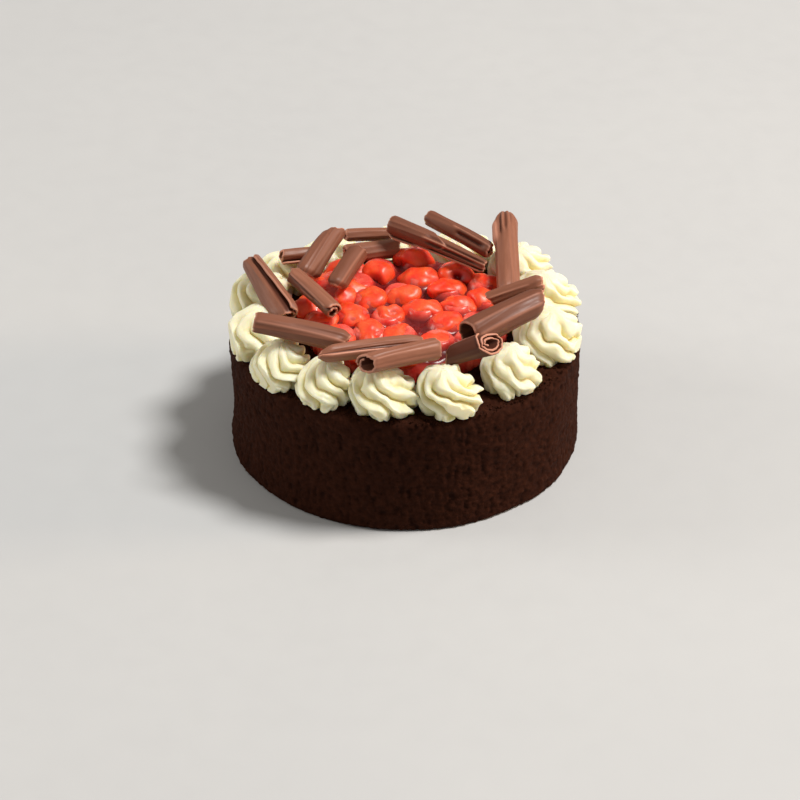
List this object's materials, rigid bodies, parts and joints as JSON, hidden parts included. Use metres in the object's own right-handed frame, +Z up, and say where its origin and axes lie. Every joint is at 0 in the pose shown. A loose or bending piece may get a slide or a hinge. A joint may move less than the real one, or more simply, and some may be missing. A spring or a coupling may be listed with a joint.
{
  "type": "black forest cake",
  "caption": "Round dark chocolate cake, whole and uncut, topped with a ring of piped cream rosettes, glazed cherries in the middle and a loose nest of chocolate rolls.",
  "frame": {"origin": "centre of the flat base of the cake", "axes": "+Z up through the toppings; -Y is the front, where the cake is seen from; +X is to the right of it"},
  "size_m": [0.2, 0.2, 0.1119],
  "materials": {
    "sponge": "dark chocolate sponge with a matt, velvety crumb that is pitted and slightly torn",
    "cream": "soft whipped cream, ivory, with a satin skin and deep piped grooves",
    "cherry": "wet bright red cherry skin, slightly translucent",
    "glaze": "clear dark red glaze, wet and glossy",
    "chocolate": "milk chocolate, satin, with fine lines along each roll"
  },
  "bodies": {
    "root": {"chocolate_cake": "sponge", "cherry_glaze": "glaze", "cream_rosette_01": "cream", "cream_rosette_02": "cream", "cream_rosette_03": "cream", "cream_rosette_04": "cream", "cream_rosette_05": "cream", "cream_rosette_06": "cream", "cream_rosette_07": "cream", "cream_rosette_08": "cream", "cream_rosette_09": "cream", "cream_rosette_10": "cream", "cream_rosette_11": "cream", "cream_rosette_12": "cream", "cream_rosette_13": "cream", "cream_rosette_14": "cream", "cherry_01": "cherry", "cherry_02": "cherry", "cherry_03": "cherry", "cherry_04": "cherry", "cherry_05": "cherry", "cherry_06": "cherry", "cherry_07": "cherry", "cherry_08": "cherry", "cherry_09": "cherry", "cherry_10": "cherry", "cherry_11": "cherry", "cherry_12": "cherry", "cherry_13": "cherry", "cherry_14": "cherry", "cherry_15": "cherry", "cherry_16": "cherry", "cherry_17": "cherry", "cherry_18": "cherry", "cherry_19": "cherry", "cherry_20": "cherry", "cherry_21": "cherry", "cherry_22": "cherry", "cherry_23": "cherry", "cherry_24": "cherry", "cherry_25": "cherry", "cherry_26": "cherry", "cherry_27": "cherry", "cherry_28": "cherry", "chocolate_roll_01": "chocolate", "chocolate_roll_02": "chocolate", "chocolate_roll_03": "chocolate", "chocolate_roll_04": "chocolate", "chocolate_roll_05": "chocolate", "chocolate_roll_06": "chocolate", "chocolate_roll_07": "chocolate", "chocolate_roll_08": "chocolate", "chocolate_roll_09": "chocolate", "chocolate_roll_10": "chocolate", "chocolate_roll_11": "chocolate", "chocolate_roll_12": "chocolate", "chocolate_roll_13": "chocolate", "chocolate_roll_14": "chocolate", "chocolate_roll_15": "chocolate", "chocolate_roll_16": "chocolate"}
  },
  "joints": []
}
